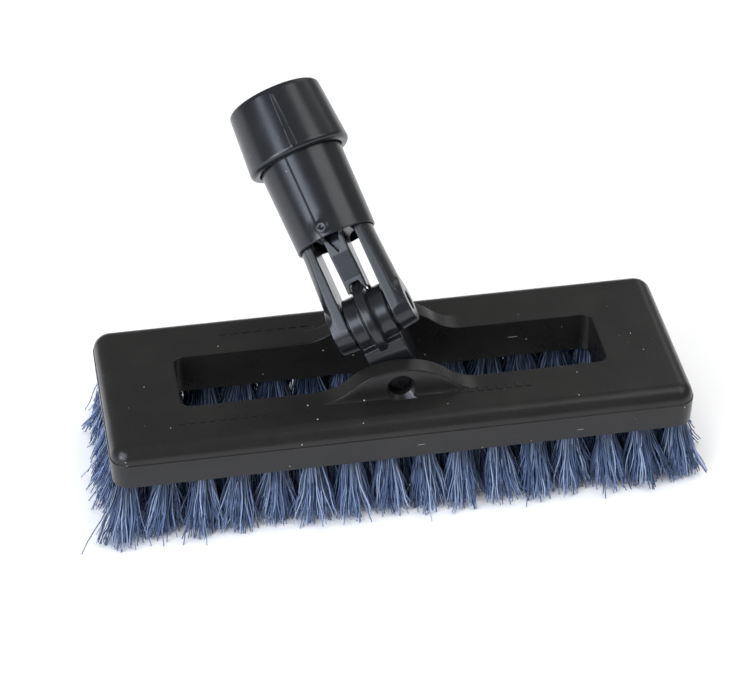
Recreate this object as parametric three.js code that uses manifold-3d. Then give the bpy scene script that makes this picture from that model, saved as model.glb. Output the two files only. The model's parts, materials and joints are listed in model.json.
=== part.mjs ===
// Swivel scrub brush head: a slotted brush block with rows of tufts, and a lockable two-axis joint
// that carries the socket for a pole. Millimetres, +Z up. The origin is on the floor, under the
// middle of the whole part's bounding box. The tufts point down and the pole leans back (+Y) and left.
import * as THREE from "three";
import { mergeVertices } from "three/addons/utils/BufferGeometryUtils.js";
import Module from "manifold-3d";

const wasm = await Module();
wasm.setup();

// ---- driving dimensions ----
const GAP = 0.3; // between pieces that touch
const TRIM = 28; // free length of the tufts below the block
const BLOCK = { length: 254, width: 89, wall: 12.5, shoulder: 7, inset: 7.5, corner: 8 };
const SLOT = { length: 187, width: 34, corner: 4.5 };
const HUMP = { height: 13.5, halfLength: 36, crestRadius: 33.8, crestY: 26.2, baseY: 28.4 };
const TOP_Z = TRIM + BLOCK.wall + BLOCK.shoulder;

const SWIVEL = { z: TOP_Z + 6.5, rest: 25, axleR: 4.8, holeR: 5.1, axleHalf: 23.5 };
const TILT = { height: 19, rest: 48, pinR: 4, holeR: 4.3, pinHalf: 16.6 };
const KNUCKLE = { half: 9.1, lobeR: 12.2, halfY: 16.3, low: -9, top: 8.9, toeY: 12.5, toeTop: 14 };
const RIM = { tipR: 16.5, tipHalf: 1.8, rootR: 11, rootHalf: 3.6 }; // tapered, gripped by the lock

const FORK = { outerR: 16.8, gap: 10.1, depth: 10.2, bossR: 10.6, faceR: 9.8, bossOuter: 18, plugLow: 49 };
const SOCKET = { boreR: 12.3, boreFloor: 58, top: 105.5 };
const RING_GROOVE = { radius: 15.3, low: 101.4, high: 103.2 };
const SLEEVE = { low: 37.5, high: 81, lowR: 18.1, highR: 18.9, innerR: 17.15 };
const COLLAR = { low: 76.2, high: 106.9, lowR: 22.5, highR: 20.8, edge: 2.6, wall: 19.4, boreR: 17.15 };
const COLLAR_STEP = { recess: 82, shoulder: 100, counterR: 18.3 };
const TONGUE = { half: 4.6, low: 9, rootHalf: 8, rootLow: 38, barLow: 40, barHigh: 48.6, backY: 5.5 };
const LOCK = { travel: 1, prongR: 12.8 }; // how far the tongue drops, and the hollow of its two prongs
const ROUND = 36; // facets round a turned piece

const rad = THREE.MathUtils.degToRad;

// ---- colours ----
const blockPlastic = new THREE.MeshStandardMaterial({ color: 0x201f1e, roughness: 0.42 });
const jointPlastic = new THREE.MeshStandardMaterial({ color: 0x17181a, roughness: 0.38 });
const bristle = new THREE.MeshStandardMaterial({ color: 0x4a5f94, roughness: 0.6 });
const steel = new THREE.MeshStandardMaterial({ color: 0x3c3c3e, roughness: 0.4, metalness: 1 });
const nylon = new THREE.MeshStandardMaterial({ color: 0xd8d4c8, roughness: 0.5 });

// ---- solids ----
function solid(geometry) {
  const bare = new THREE.BufferGeometry();
  bare.setAttribute("position", geometry.getAttribute("position"));
  bare.setIndex(geometry.index);
  const merged = mergeVertices(bare, 1e-4);
  return new wasm.Manifold(
    new wasm.Mesh({
      numProp: 3,
      vertProperties: merged.attributes.position.array,
      triVerts: new Uint32Array(merged.index.array),
    }),
  );
}

function part(name, shape, material) {
  const { vertProperties, triVerts } = shape.getMesh();
  const geometry = new THREE.BufferGeometry();
  geometry.setAttribute("position", new THREE.BufferAttribute(new Float32Array(vertProperties), 3));
  geometry.setIndex(new THREE.BufferAttribute(new Uint32Array(triVerts), 1));
  geometry.computeVertexNormals();
  const mesh = new THREE.Mesh(geometry, material);
  mesh.name = name;
  return mesh;
}

// a box from its low and high corners
function block(low, high) {
  const [x, y, z] = high.map((h, i) => h - low[i]);
  const middle = high.map((h, i) => (h + low[i]) / 2);
  return solid(new THREE.BoxGeometry(x, y, z).translate(...middle));
}

// a round bar along X or Y, from one end to the other
function bar(axis, radius, from, to) {
  const geometry = new THREE.CylinderGeometry(radius, radius, to - from, ROUND);
  geometry.translate(0, (from + to) / 2, 0);
  if (axis === "x") geometry.rotateZ(-Math.PI / 2);
  return solid(geometry);
}

// a turned piece about Z, from an outline of [radius, height] points listed anticlockwise
function turned(outline) {
  const points = [...outline, outline[0]].map(([r, z]) => new THREE.Vector2(r, z));
  return solid(new THREE.LatheGeometry(points, ROUND).rotateX(Math.PI / 2));
}

// a flat outline in X and Z, drawn through the thickness from y = from to y = to
function plateXZ(shape, from, to) {
  const settings = { depth: to - from, bevelEnabled: false, curveSegments: 12 };
  const geometry = new THREE.ExtrudeGeometry(shape, settings);
  return solid(geometry.rotateX(Math.PI / 2).translate(0, to, 0));
}

// a flat outline in Y and Z, drawn through the thickness from x = from to x = to
function plateYZ(shape, from, to) {
  const settings = { depth: to - from, bevelEnabled: false, curveSegments: 12 };
  const geometry = new THREE.ExtrudeGeometry(shape, settings);
  return solid(geometry.rotateX(Math.PI / 2).rotateZ(Math.PI / 2).translate(from, 0, 0));
}

function polygon(points) {
  return new THREE.Shape(points.map(([a, b]) => new THREE.Vector2(a, b)));
}

function roundedRectangle(length, width, corner) {
  const [x, y] = [length / 2 - corner, width / 2 - corner];
  const shape = new THREE.Shape();
  shape.absarc(x, y, corner, 0, Math.PI / 2);
  shape.absarc(-x, y, corner, Math.PI / 2, Math.PI);
  shape.absarc(-x, -y, corner, Math.PI, 1.5 * Math.PI);
  shape.absarc(x, -y, corner, 1.5 * Math.PI, 2 * Math.PI);
  return shape;
}

// ---- brush block: moulded slab with a long slot and two humps that hold the axle ----
function humpOutline() {
  const { height, halfLength, crestRadius } = HUMP;
  const spread = (halfLength ** 2 + height ** 2) / (2 * height); // crest radius plus foot radius
  const footRadius = spread - crestRadius;
  const turn = Math.asin(halfLength / spread);
  const shape = new THREE.Shape();
  shape.moveTo(-halfLength, -2);
  shape.lineTo(halfLength, -2);
  shape.absarc(halfLength, footRadius, footRadius, -Math.PI / 2, -Math.PI / 2 - turn, true);
  shape.absarc(0, height - crestRadius, crestRadius, Math.PI / 2 - turn, Math.PI / 2 + turn);
  shape.absarc(-halfLength, footRadius, footRadius, -Math.PI / 2 + turn, -Math.PI / 2, true);
  return shape;
}

function hump(side) {
  const outer = HUMP.baseY + 3;
  const plate = plateXZ(humpOutline(), SLOT.width / 2, outer);
  const slope = polygon([
    [HUMP.baseY, -3],
    [outer + 1, -3],
    [outer + 1, HUMP.height + 1],
    [HUMP.crestY, HUMP.height + 1],
  ]);
  const raised = plate.subtract(plateYZ(slope, -HUMP.halfLength - 1, HUMP.halfLength + 1));
  const placed = raised.translate([0, 0, TOP_Z]);
  return side > 0 ? placed : placed.rotate([0, 0, 180]);
}

function brushBlock() {
  const { length, width, wall, shoulder, inset, corner } = BLOCK;
  const slab = new THREE.ExtrudeGeometry(roundedRectangle(length, width, corner), {
    depth: wall + shoulder,
    bevelThickness: shoulder,
    bevelSize: inset,
    bevelOffset: -inset,
    bevelSegments: 6,
    curveSegments: 6,
  });
  slab.translate(0, 0, TRIM - shoulder);
  const below = block([-length, -width, TRIM - 2 * shoulder], [length, width, TRIM]);
  const slotShape = roundedRectangle(SLOT.length, SLOT.width, SLOT.corner);
  const slotSettings = { depth: TOP_Z, bevelEnabled: false, curveSegments: 5 };
  const slot = new THREE.ExtrudeGeometry(slotShape, slotSettings);
  const axleHole = bar("y", SWIVEL.holeR, -HUMP.baseY - 3, HUMP.baseY + 3).translate([0, 0, SWIVEL.z]);
  return solid(slab).subtract(below).subtract(solid(slot.translate(0, 0, 1)))
    .add(hump(1)).add(hump(-1)).subtract(axleHole);
}

// ---- tufts: one flared bundle in each hole of a row, meeting its neighbours at the tips ----
function tuft(x, y, spreadX, spreadY, leanX, leanY) {
  const root = 3.2;
  const waist = 12;
  const high = TRIM - GAP;
  const rings = [
    [high, 0, root, root],
    [waist, 0.55, 0.55 * spreadX + 1, 0.55 * spreadY + 1],
    [0, 1, spreadX, spreadY],
  ];
  const sides = 8;
  const points = [];
  for (const [z, lean, rx, ry] of rings) {
    for (let i = 0; i < sides; i++) {
      const angle = ((i + 0.5) / sides) * 2 * Math.PI;
      const across = 1 / Math.cos(Math.PI / sides);
      points.push([
        x + lean * leanX + rx * across * Math.cos(angle),
        y + lean * leanY + ry * across * Math.sin(angle),
        z,
      ]);
    }
  }
  return wasm.Manifold.hull(points);
}

function row(count, place) {
  const tufts = Array.from({ length: count }, (_, i) => place(i - (count - 1) / 2));
  return tufts.reduce((joined, one) => joined.add(one));
}

const ROWS = { outerY: 37, innerY: 25, pitch: 16, outerCount: 16, innerCount: 15 };
const ENDS = { outerX: 120, innerX: 105, outerPitch: 14.4, innerPitch: 12.5, outerCount: 4, innerCount: 3 };

function longRow(side, outer) {
  if (!outer) {
    return row(ROWS.innerCount, (i) => tuft(i * ROWS.pitch, side * ROWS.innerY, 8.4, 7, 0, side * 4.5));
  }
  return row(ROWS.outerCount, (i) => {
    const x = i * ROWS.pitch;
    return tuft(x, side * ROWS.outerY, 8.8, 6, 0.04 * x, side * 7.5);
  });
}

function endRow(side, outer) {
  if (!outer) {
    return row(ENDS.innerCount, (i) => tuft(side * ENDS.innerX, i * ENDS.innerPitch, 7, 6.8, 0, 0));
  }
  return row(ENDS.outerCount, (i) => {
    return tuft(side * ENDS.outerX, i * ENDS.outerPitch, 6, 7.6, side * 7.2, 0);
  });
}

// ---- trunnion: swivels on the axle between the humps; its tapered rim takes the lock ----
// a turned piece about X, from an outline of [radius, x] points
function turnedX(outline) {
  return turned(outline).rotate([0, 90, 0]);
}

function trunnion() {
  const { half, lobeR, halfY, low, top, toeY, toeTop } = KNUCKLE;
  const corner = 4;
  const side = polygon([
    [-halfY, low + corner],
    [-halfY + corner, low],
    [halfY - corner, low],
    [halfY, low + corner],
    [halfY, top],
    [toeY, toeTop],
    [-toeY, toeTop],
    [-halfY, top],
  ]);
  const rim = turnedX([
    [0, -RIM.rootHalf],
    [RIM.rootR, -RIM.rootHalf],
    [RIM.tipR, -RIM.tipHalf],
    [RIM.tipR, RIM.tipHalf],
    [RIM.rootR, RIM.rootHalf],
    [0, RIM.rootHalf],
  ]);
  const lobes = bar("x", lobeR, -half, half).add(rim).translate([0, 0, TILT.height]);
  const pinHole = bar("x", TILT.holeR, -half - 1, half + 1).translate([0, 0, TILT.height]);
  const axleHole = bar("y", SWIVEL.holeR, -halfY - 1, halfY + 1);
  return plateYZ(side, -half, half).add(lobes).subtract(pinHole).subtract(axleHole);
}

function thrustWasher(side) {
  const [near, far] = [KNUCKLE.half + GAP, FORK.gap - GAP];
  const ring = bar("x", 10, near, far).subtract(bar("x", TILT.holeR, near - 1, far + 1));
  return side > 0 ? ring : ring.rotate([0, 0, 180]);
}

// ---- pole socket: a fork whose round bosses hold the tilt pin, welded to the tube for the pole ----
function socketFork() {
  const { outerR, gap, depth, bossR, faceR, bossOuter, plugLow } = FORK;
  const wide = outerR + 4;
  const round = turned([
    [0, -bossR],
    [outerR, -bossR],
    [outerR, SOCKET.boreFloor],
    [0, SOCKET.boreFloor],
  ]);
  const betweenLegs = block([-gap, -wide, -bossR - 1], [gap, wide, plugLow]);
  const legs = block([-wide, -depth, 0], [wide, depth, plugLow]);
  const plug = block([-wide, -wide, plugLow], [wide, wide, SOCKET.boreFloor + 1]);
  const boss = turnedX([
    [0, gap],
    [bossR, gap],
    [faceR, bossOuter],
    [0, bossOuter],
  ]);
  return round.intersect(legs.add(plug)).subtract(betweenLegs)
    .add(boss).add(boss.rotate([0, 0, 180]))
    .subtract(bar("x", TILT.holeR, -bossOuter - 1, bossOuter + 1));
}

function socketTube() {
  const { boreR, boreFloor, top } = SOCKET;
  return turned([
    [boreR, boreFloor + GAP],
    [FORK.outerR, boreFloor + GAP],
    [FORK.outerR, RING_GROOVE.low],
    [RING_GROOVE.radius, RING_GROOVE.low],
    [RING_GROOVE.radius, RING_GROOVE.high],
    [FORK.outerR, RING_GROOVE.high],
    [FORK.outerR, top],
    [boreR, top],
  ]);
}

function threadInsert() {
  const [outer, inner] = [SOCKET.boreR - GAP, 9.6];
  const [low, high] = [SOCKET.boreFloor + 2, SOCKET.top - 1.5];
  return turned([
    [inner, low],
    [outer, low],
    [outer, high],
    [inner, high],
  ]);
}

// ---- lock: the collar turns, and draws the sleeve and its tongue along the socket ----
function lockTongue() {
  const { half, low, rootHalf, rootLow, barLow, barHigh, backY } = TONGUE;
  const reach = SLEEVE.innerR - 2 * GAP;
  const front = plateXZ(
    polygon([
      [-half, low],
      [half, low],
      [half, 32],
      [rootHalf, rootLow],
      [rootHalf, barHigh],
      [-rootHalf, barHigh],
      [-rootHalf, rootLow],
      [-half, 32],
    ]),
    -reach,
    reach,
  );
  const side = plateYZ(
    polygon([
      [-6.4, low],
      [backY, low],
      [backY, barLow],
      [reach, barLow],
      [reach, barHigh],
      [-reach, barHigh],
      [-reach, barLow],
      [-10, barLow - 4],
      [-9.4, 30],
      [-6.4, 18],
    ]),
    -rootHalf,
    rootHalf,
  );
  // the notch that grips the rim, and the hollow of the prongs beside it, placed as they are when locked
  const notch = turnedX([
    [0, -RIM.rootHalf - GAP],
    [RIM.rootR, -RIM.rootHalf - GAP],
    [RIM.tipR + GAP, -RIM.tipHalf - GAP],
    [RIM.tipR + GAP, RIM.tipHalf + GAP],
    [RIM.rootR, RIM.rootHalf + GAP],
    [0, RIM.rootHalf + GAP],
  ]);
  const hollow = notch.add(bar("x", LOCK.prongR, -half - 1, half + 1)).translate([0, 0, LOCK.travel]);
  const inSleeve = turned([
    [0, low - 1],
    [reach, low - 1],
    [reach, barHigh],
    [0, barHigh],
  ]);
  return front.intersect(side).intersect(inSleeve).subtract(hollow);
}

function lockSleeve() {
  const { low, high, lowR, highR, innerR } = SLEEVE;
  return turned([
    [innerR, low],
    [lowR - 0.4, low],
    [lowR, low + 0.6],
    [highR, high],
    [innerR, high],
  ]);
}

function lockCollar() {
  const { low, high, lowR, highR, edge, wall, boreR } = COLLAR;
  const { recess, shoulder, counterR } = COLLAR_STEP;
  const rounding = [highR - edge * (1 - Math.cos(rad(45))), high - edge * (1 - Math.sin(rad(45)))];
  const body = turned([
    [wall, low],
    [lowR - 1.2, low],
    [lowR, low + 1.2],
    [highR, high - edge],
    rounding,
    [counterR, high],
    [counterR, shoulder],
    [boreR, shoulder],
    [boreR, recess],
    [wall, recess],
  ]);
  const rib = plateYZ(
    polygon([
      [-lowR - 0.5, low + 2],
      [-lowR + 2, low + 2],
      [-highR + 2, high - edge - 2],
      [-highR, high - edge - 2],
    ]),
    -0.7,
    0.7,
  );
  return body.add(rib);
}

function waveWasher() {
  return turned([
    [17.2, 100.3],
    [18, 100.3],
    [18, 101],
    [17.2, 101],
  ]);
}

function snapRing() {
  const ring = turned([
    [15.7, 101.7],
    [18, 101.7],
    [18, 102.9],
    [15.7, 102.9],
  ]);
  return ring.subtract(block([-2, 0, 101], [2, 20, 104]));
}

// ---- assembly ----
const brush = new THREE.Group();
brush.add(part("brush_block", brushBlock(), blockPlastic));
const long = { front: -1, rear: 1 };
for (const [where, side] of Object.entries(long)) {
  brush.add(part(`${where}_outer_tufts`, longRow(side, true), bristle));
  brush.add(part(`${where}_inner_tufts`, longRow(side, false), bristle));
}
const ends = { left: -1, right: 1 };
for (const [where, side] of Object.entries(ends)) {
  brush.add(part(`${where}_outer_tufts`, endRow(side, true), bristle));
  brush.add(part(`${where}_inner_tufts`, endRow(side, false), bristle));
}

const swivel = new THREE.Group(); // turns about Y
swivel.position.z = SWIVEL.z;
swivel.rotation.y = -rad(SWIVEL.rest);
swivel.add(part("swivel_trunnion", trunnion(), jointPlastic));
swivel.add(part("swivel_axle", bar("y", SWIVEL.axleR, -SWIVEL.axleHalf, SWIVEL.axleHalf), steel));
brush.add(swivel);

const pole = new THREE.Group(); // tilts about the pin; its Z is the pole's line
pole.position.z = TILT.height;
pole.rotation.x = -rad(TILT.rest);
pole.add(part("socket_fork", socketFork(), jointPlastic));
pole.add(part("socket_tube", socketTube(), jointPlastic));
pole.add(part("tilt_pin", bar("x", TILT.pinR, -TILT.pinHalf, TILT.pinHalf), steel));
for (const [where, side] of Object.entries(ends)) {
  pole.add(part(`${where}_thrust_washer`, thrustWasher(side), jointPlastic));
}
pole.add(part("thread_insert", threadInsert(), nylon));
pole.add(part("lock_tongue", lockTongue(), jointPlastic));
pole.add(part("lock_sleeve", lockSleeve(), jointPlastic));
pole.add(part("lock_collar", lockCollar(), jointPlastic));
pole.add(part("collar_wave_washer", waveWasher(), steel));
pole.add(part("collar_snap_ring", snapRing(), steel));
swivel.add(pole);

const root = new THREE.Group();
root.add(brush);
root.updateMatrixWorld(true);
const box = new THREE.Box3().setFromObject(brush, true);
const middle = box.getCenter(new THREE.Vector3());
brush.position.set(-middle.x, -middle.y, -box.min.z);

export default root;
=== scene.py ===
import json
import math

import bpy
import numpy as np
from mathutils import Matrix, Vector


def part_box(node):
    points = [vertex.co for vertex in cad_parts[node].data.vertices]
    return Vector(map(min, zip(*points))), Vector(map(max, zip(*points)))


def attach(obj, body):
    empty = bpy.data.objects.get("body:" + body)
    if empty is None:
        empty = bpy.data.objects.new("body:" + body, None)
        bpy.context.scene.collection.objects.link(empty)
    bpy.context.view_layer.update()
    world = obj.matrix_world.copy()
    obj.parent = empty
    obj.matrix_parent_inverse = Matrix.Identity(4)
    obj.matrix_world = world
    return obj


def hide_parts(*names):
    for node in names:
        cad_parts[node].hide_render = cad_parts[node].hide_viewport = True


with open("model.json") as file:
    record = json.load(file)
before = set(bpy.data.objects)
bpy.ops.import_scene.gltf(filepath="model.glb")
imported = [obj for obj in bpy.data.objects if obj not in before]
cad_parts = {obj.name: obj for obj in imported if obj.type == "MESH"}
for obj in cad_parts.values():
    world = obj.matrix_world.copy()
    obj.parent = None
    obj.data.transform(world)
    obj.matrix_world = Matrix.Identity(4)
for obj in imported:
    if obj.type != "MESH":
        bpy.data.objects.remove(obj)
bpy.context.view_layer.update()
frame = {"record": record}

# --------
# Camera: a long lens looking down on the head from the front left.
VIEW_AZIMUTH, VIEW_ELEVATION, VIEW_ROLL = (math.radians(d) for d in (-10.17, 37.87, -0.19))
VIEW_DISTANCE = 1.23
VIEW_TARGET = Vector((-0.0039, -0.0046, 0.0477))

view_right = Vector((math.cos(VIEW_AZIMUTH), math.sin(VIEW_AZIMUTH), 0))
view_back = Vector((
    math.sin(VIEW_AZIMUTH) * math.cos(VIEW_ELEVATION),
    -math.cos(VIEW_AZIMUTH) * math.cos(VIEW_ELEVATION),
    math.sin(VIEW_ELEVATION),
))
view_up = view_back.cross(view_right)
camera = bpy.data.objects.new("camera", bpy.data.cameras.new("camera"))
camera.data.lens = 133.9
camera.data.clip_start, camera.data.clip_end = 0.05, 20
camera.matrix_world = (
    Matrix.Translation(VIEW_TARGET + VIEW_DISTANCE * view_back)
    @ Matrix((view_right, view_up, view_back)).transposed().to_4x4()
    @ Matrix.Rotation(-VIEW_ROLL, 4, "Z")
)
bpy.context.collection.objects.link(camera)
bpy.context.scene.camera = camera
bpy.context.scene.view_settings.view_transform = "Standard"

# --------
# Studio: a pale floor under a broad overhead lamp, dim surroundings, a large soft lamp in front on
# the left with a small bright one beside it, and weaker ones on the right and behind, so that the
# black plastic shows its shape by broad sheens with a spark on its corners.


def linear(hex_colour):
    """An sRGB hex colour as linear RGBA."""
    channels = [int(hex_colour[i:i + 2], 16) / 255 for i in (1, 3, 5)]
    return [c / 12.92 if c <= 0.04045 else ((c + 0.055) / 1.055) ** 2.4 for c in channels] + [1]


def add(tree, kind, inputs=(), **settings):
    """Adds a node with its settings, and sets or links its inputs, given by name or in order. A node
    given as an input stands for its first output."""
    node = tree.nodes.new(kind)
    for key, value in settings.items():
        setattr(node, key, value)
    for key, value in inputs.items() if isinstance(inputs, dict) else enumerate(inputs):
        if isinstance(value, bpy.types.Node):
            value = value.outputs[0]
        if isinstance(value, bpy.types.NodeSocket):
            tree.links.new(value, node.inputs[key])
        else:
            node.inputs[key].default_value = value
    return node


def number(tree, operation, *values):
    """A math node on single numbers."""
    return add(tree, "ShaderNodeMath", values, operation=operation)


def vector(tree, operation, *values):
    """A math node on vectors."""
    return add(tree, "ShaderNodeVectorMath", values, operation=operation)


def scaled(tree, value, factor):
    """A vector times a number."""
    return add(tree, "ShaderNodeVectorMath", {0: value, "Scale": factor}, operation="SCALE")


def new_material(name):
    """A material with its Principled shader, as (material, tree, shader)."""
    material = bpy.data.materials.new(name)
    material.use_nodes = True
    tree = material.node_tree
    return material, tree, tree.nodes["Principled BSDF"]


floor_paint, _, floor_shader = new_material("pale_floor_paint")
floor_shader.inputs["Base Color"].default_value = linear("#fbfbfb")
floor_shader.inputs["Roughness"].default_value = 0.9
floor_shader.inputs["Specular IOR Level"].default_value = 0.1
bpy.ops.mesh.primitive_plane_add(size=12)
floor = bpy.context.object
floor.name = "floor"
floor.data.materials.append(floor_paint)

world = bpy.data.worlds.new("studio")
world.use_nodes = True
world.node_tree.nodes["Background"].inputs["Color"].default_value = linear("#ffffff")
world.node_tree.nodes["Background"].inputs["Strength"].default_value = 0.3
bpy.context.scene.world = world


def soft_lamp(name, towards, distance, size, power, colour="#ffffff"):
    """A square area lamp in the given direction from the view's middle, turned towards it."""
    lamp = bpy.data.objects.new(name, bpy.data.lights.new(name, "AREA"))
    lamp.data.energy = power
    lamp.data.size = size
    lamp.data.color = linear(colour)[:3]
    away = Vector(towards).normalized()
    lamp.location = VIEW_TARGET + distance * away
    lamp.rotation_euler = (-away).to_track_quat("-Z", "Y").to_euler()
    bpy.context.collection.objects.link(lamp)
    return lamp


soft_lamp("key_lamp", (-0.68, -0.59, 0.44), 1.4, 1.1, 19.5, "#e6eeff")
soft_lamp("spark_lamp", (-0.78, -0.56, 0.27), 1.4, 0.14, 1.8)
soft_lamp("side_lamp", (0.54, -0.23, 0.81), 1.4, 0.9, 5.2)
soft_lamp("back_lamp", (0.6, 0.6, 0.62), 1.5, 0.8, 1.6)
top_lamp = soft_lamp("top_lamp", (0, 0.1, 1), 1.5, 1.4, 15)
top_lamp.visible_glossy = False  # it lights the floor, and the plastic shows no sheen of it

# --------
# Brush block: one thick polypropylene moulding, a slab with a long open slot. Its side wall ends
# in a crisp parting line under a rounded shoulder, and two humps beside the slot carry the axle.
MM = 0.001
block_low, block_high = (Vector(c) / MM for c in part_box("brush_block"))
HUMP_HEIGHT = 13.5
UNDERSIDE = block_low.z
BLOCK_TOP = block_high.z - HUMP_HEIGHT
BLOCK_MIDDLE = (block_low + block_high) / 2
BLOCK_HALF = (block_high - block_low) / 2
BLOCK_CORNER = 8
SLOT_HALF = (93.5, 17)
SLOT_CORNER = 4.5
HUMP_HALF_LENGTH = 36
HUMP_CREST_RADIUS = 33.8
HUMP_DEPTH = 8.5  # from the slot to the middle of the hump's far side
SHOULDER = (7.5, 7)  # inset and drop
LEDGE, SLOT_LIP = 0.35, 0.7  # the parting line's width, and the rounding round the slot
HUMP_STEP = 1.0  # between stations along the humps
AXLE_HOLE, AXLE_HOLE_RISE = 5.1, 5  # radius, and height of its middle above the block's top


def hump_rise(x):
    """Height of the humps above the block's top: a crest arc that runs into two foot arcs."""
    x = abs(x)
    if x >= HUMP_HALF_LENGTH:
        return 0
    spread = (HUMP_HALF_LENGTH ** 2 + HUMP_HEIGHT ** 2) / (2 * HUMP_HEIGHT)
    foot = spread - HUMP_CREST_RADIUS
    if x < HUMP_HALF_LENGTH * HUMP_CREST_RADIUS / spread:
        return HUMP_HEIGHT - HUMP_CREST_RADIUS + math.sqrt(HUMP_CREST_RADIUS ** 2 - x ** 2)
    return foot - math.sqrt(foot ** 2 - (HUMP_HALF_LENGTH - x) ** 2)


def stations():
    """Matching points round the slot and round the block's outline, each with its outward normal."""
    slot = np.array([h - SLOT_CORNER for h in SLOT_HALF])
    outline = np.array([BLOCK_HALF.x - BLOCK_CORNER, BLOCK_HALF.y - BLOCK_CORNER])
    reach = HUMP_HALF_LENGTH + 4  # a little past the humps' feet
    near = np.arange(-reach, reach + 0.01, HUMP_STEP) / slot[0]
    along = [*np.linspace(-1, near[0], 9)[:-1], *near, *np.linspace(near[-1], 1, 9)[1:]]
    across = np.linspace(-1, 1, 7)
    corner_steps = 8
    found = []
    for quarter in range(4):
        start = math.pi / 2 * (quarter - 1)
        normal = np.array([math.cos(start), math.sin(start)]).round()
        ahead = np.array([-normal[1], normal[0]])
        turns = [(normal + t * ahead, normal) for t in (across if quarter % 2 else along)]
        for i in range(1, corner_steps):
            turn = start + math.pi / 2 * i / corner_steps
            turns.append((normal + ahead, np.array([math.cos(turn), math.sin(turn)])))
        for place, n in turns:
            found.append((place * slot + n * SLOT_CORNER, place * outline + n * BLOCK_CORNER, n))
    return found


def block_profile(inner, outer, normal):
    """One section of the block's wall, from the slot's lower edge over the top and back underneath."""
    rise = hump_rise(inner[0]) if abs(inner[1]) > SLOT_HALF[1] - 0.01 else 0
    crest = BLOCK_TOP + rise
    section = [(inner + normal * 0.4, UNDERSIDE), (inner, UNDERSIDE + 0.4), (inner, UNDERSIDE + 9)]
    for turn in (0, 30, 60, 90):
        inset, drop = (SLOT_LIP * (1 - f(math.radians(turn))) for f in (math.cos, math.sin))
        section.append((inner + normal * inset, crest - drop))
    # the hump's far side as shares of its rise, at distances from the slot
    for distance, share in (
        (4.5, 1), (7.9, 1), (8.25, 0.99), (8.5, 0.965), (8.65, 0.92), (8.8, 0.8), (9, 0.55),
        (9.25, 0.25), (9.4, 0.13), (9.7, 0.05), (10.2, 0.01), (11, 0),
    ):
        section.append((inner + normal * distance, BLOCK_TOP + rise * share))
    inset, drop = SHOULDER
    for turn in range(0, 91, 10):
        angle = math.radians(turn)
        back = (inset - LEDGE) * (1 - math.sin(angle)) + LEDGE
        section.append((outer - normal * back, BLOCK_TOP - drop * (1 - math.cos(angle))))
    wall_top = BLOCK_TOP - drop
    section += [
        (outer - normal * 0.12, wall_top - 0.1),
        (outer, wall_top - 0.35),
        (outer - normal * 0.1, wall_top - 2),
        (outer - normal * 0.5, UNDERSIDE + 0.6),
        (outer - normal * 0.7, UNDERSIDE + 0.15),
        (outer - normal * 1.1, UNDERSIDE),
    ]
    return [(*p, z) for p, z in section]


def mesh_object(name, points, faces, smooth_angle=35):
    """A smooth-shaded mesh object from points in metres; edges sharper than smooth_angle stay crisp."""
    mesh = bpy.data.meshes.new(name)
    mesh.from_pydata([tuple(p) for p in points], [], [tuple(f) for f in faces])
    mesh.update()
    mesh.shade_smooth()
    mesh.set_sharp_from_angle(angle=math.radians(smooth_angle))
    piece = bpy.data.objects.new(name, mesh)
    bpy.context.collection.objects.link(piece)
    return piece


def loft_faces(rings, around):
    """Quads between rings of points, closed both along the rings and from the last ring to the first."""
    return [
        (i * around + k, i * around + (k + 1) % around,
         (i + 1) % rings * around + (k + 1) % around, (i + 1) % rings * around + k)
        for i in range(rings) for k in range(around)
    ]


def baked(piece):
    """The piece with its modifiers applied, as a plain mesh object of the same name."""
    evaluated = piece.evaluated_get(bpy.context.evaluated_depsgraph_get())
    mesh = bpy.data.meshes.new_from_object(evaluated)
    piece.modifiers.clear()
    piece.data = mesh
    return piece


def cut_away(piece, cutter):
    """Takes the cutter's solid out of the piece, and keeps the flat faces round the cut flat."""
    modifier = piece.modifiers.new("cut", "BOOLEAN")
    modifier.operation, modifier.solver, modifier.object = "DIFFERENCE", "EXACT", cutter
    baked(piece)
    bpy.data.objects.remove(cutter)
    piece.data.set_sharp_from_angle(angle=math.radians(28))
    modifier = piece.modifiers.new("shading", "WEIGHTED_NORMAL")
    modifier.keep_sharp = True
    baked(piece)


def rod_along_y(radius, reach, z, flare=0.5, facets=72):
    """A solid bar along Y through the block's middle, flared at its ends to leave a chamfer."""
    rings = [(-reach - 3, radius + flare + 3), (-reach, radius + flare), (-reach + flare, radius)]
    rings += [(-y, r) for y, r in reversed(rings)]
    turns = [2 * math.pi * k / facets for k in range(facets)]
    points = [
        (BLOCK_MIDDLE.x + r * math.cos(a), BLOCK_MIDDLE.y + y, z - r * math.sin(a))
        for y, r in rings for a in turns
    ]
    faces = loft_faces(len(rings), facets)[:-facets]
    faces += [tuple(reversed(range(facets))), tuple(range(len(points) - facets, len(points)))]
    return mesh_object("cutter", [Vector(p) * MM for p in points], faces)




def grain(tree, size, detail=3.0, stretch=(1, 1, 1)):
    """Noise on the piece's own coordinates, with features of about that size in millimetres."""
    place = add(tree, "ShaderNodeTexCoord").outputs["Object"]
    place = vector(tree, "MULTIPLY", place, stretch)
    return add(tree, "ShaderNodeTexNoise", {"Vector": place, "Scale": 1 / (size * MM), "Detail": detail})


def relief(tree, shader, *layers):
    """Bumps of (height pattern, millimetres), one on top of the other."""
    below = {}
    for pattern, depth in layers:
        bump = add(tree, "ShaderNodeBump", {
            "Height": pattern, "Distance": depth * MM, "Strength": 1.0, **below,
        })
        below = {"Normal": bump}
    tree.links.new(bump.outputs[0], shader.inputs["Normal"])


SPECK_PITCH, SCRATCH_PITCH = 2.7, 1.1  # between the places where one may be, in millimetres
DUST_COLOUR = "#b5b1a6"


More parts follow.
